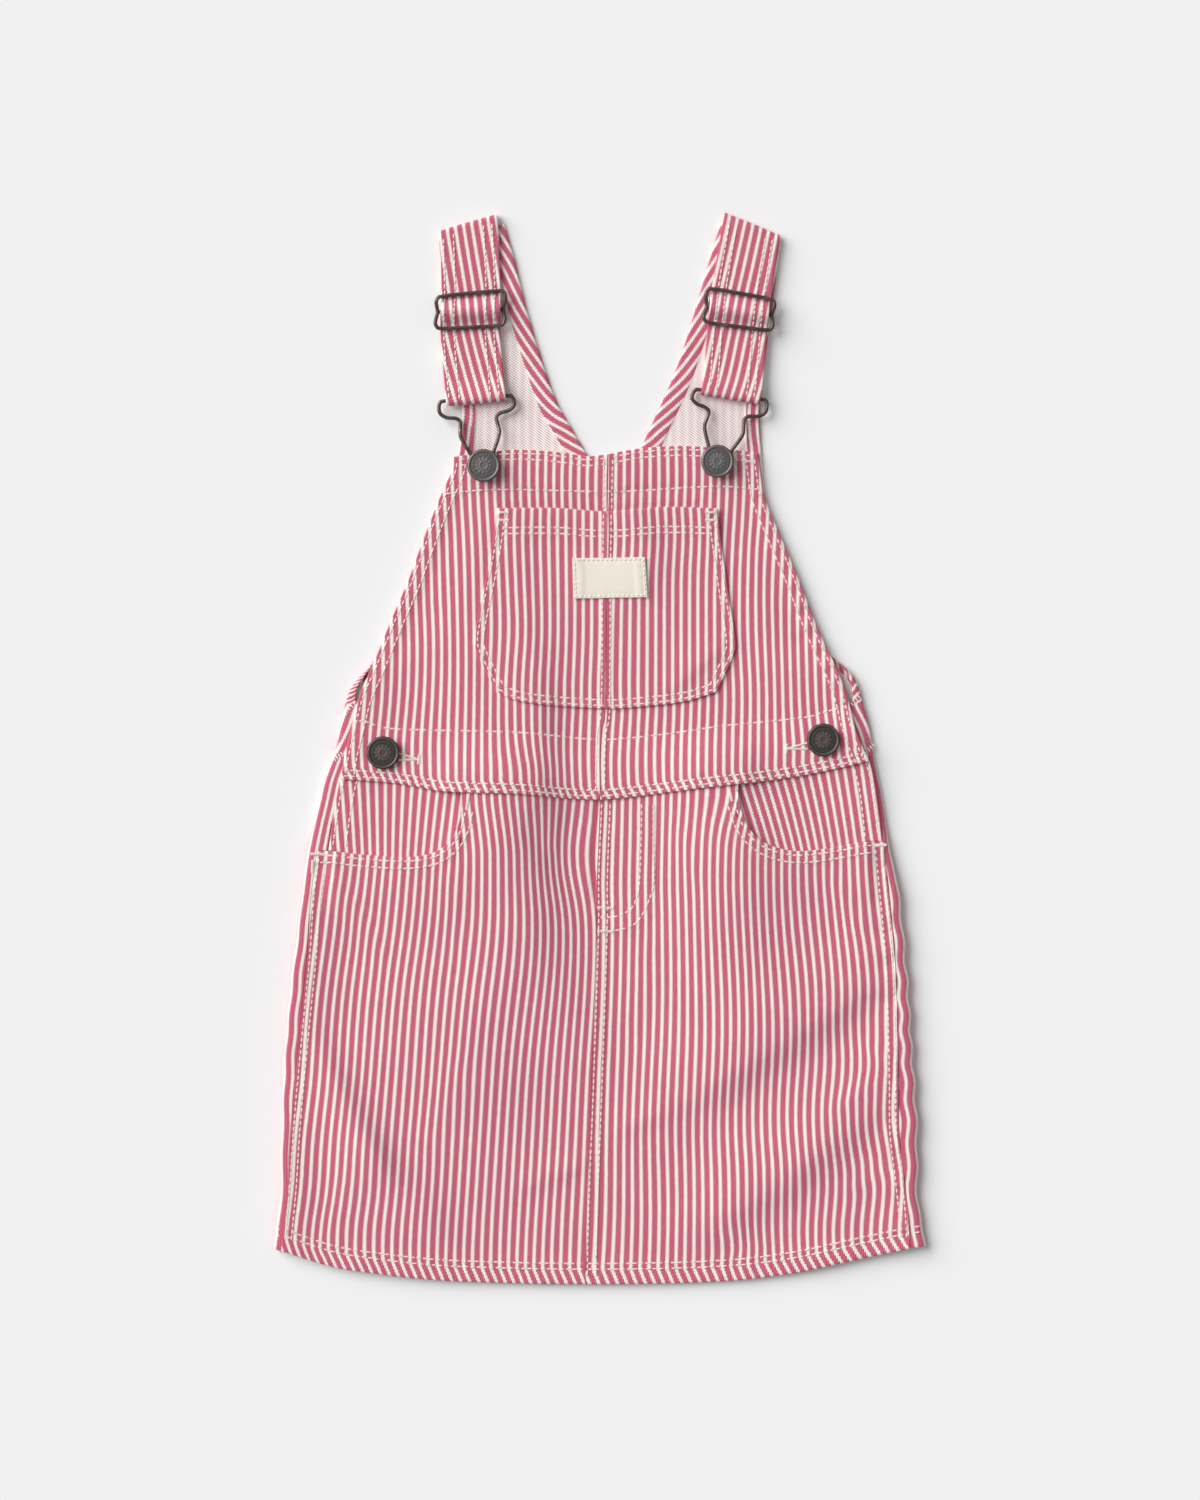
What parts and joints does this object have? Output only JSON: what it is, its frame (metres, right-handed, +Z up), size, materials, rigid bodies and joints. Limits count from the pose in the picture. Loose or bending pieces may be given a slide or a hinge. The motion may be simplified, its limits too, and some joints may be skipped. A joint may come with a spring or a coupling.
{
  "type": "toddler overall skirt laid flat",
  "caption": "Striped cotton overall skirt laid flat: bib with patch pocket, shoulder straps with wire slides and hook buckles, A-line skirt with scooped front pockets.",
  "frame": {"origin": "middle of the outline on the surface that the garment lies on, at the bottom centre of its bounding box", "axes": "+X to the right side of the laid-out front as seen from above, +Y from hem to shoulders, +Z up from the surface"},
  "size_m": [0.3061, 0.5033, 0.0099],
  "materials": {
    "striped_twill": "matte cotton twill with narrow pink and cream stripes",
    "label_tape": "matte woven tape, blank",
    "wire": "antiqued dark bronze plating, satin",
    "button_metal": "antiqued dark grey, satin"
  },
  "bodies": {
    "root": {"back_bodice_left": "striped_twill", "back_bodice_right": "striped_twill", "bib_button_left": "button_metal", "bib_button_right": "button_metal", "bib_left": "striped_twill", "bib_pocket_left": "striped_twill", "bib_pocket_right": "striped_twill", "bib_right": "striped_twill", "buckle_left": "wire", "buckle_right": "wire", "pocket_facing_left": "striped_twill", "pocket_facing_right": "striped_twill", "pocket_label": "label_tape", "side_button_left": "button_metal", "side_button_right": "button_metal", "skirt_back_left": "striped_twill", "skirt_back_right": "striped_twill", "skirt_front_left": "striped_twill", "skirt_front_right": "striped_twill", "slide_bar_left": "wire", "slide_bar_right": "wire", "slide_left": "wire", "slide_right": "wire", "strap_left": "striped_twill", "strap_right": "striped_twill"}
  },
  "joints": []
}
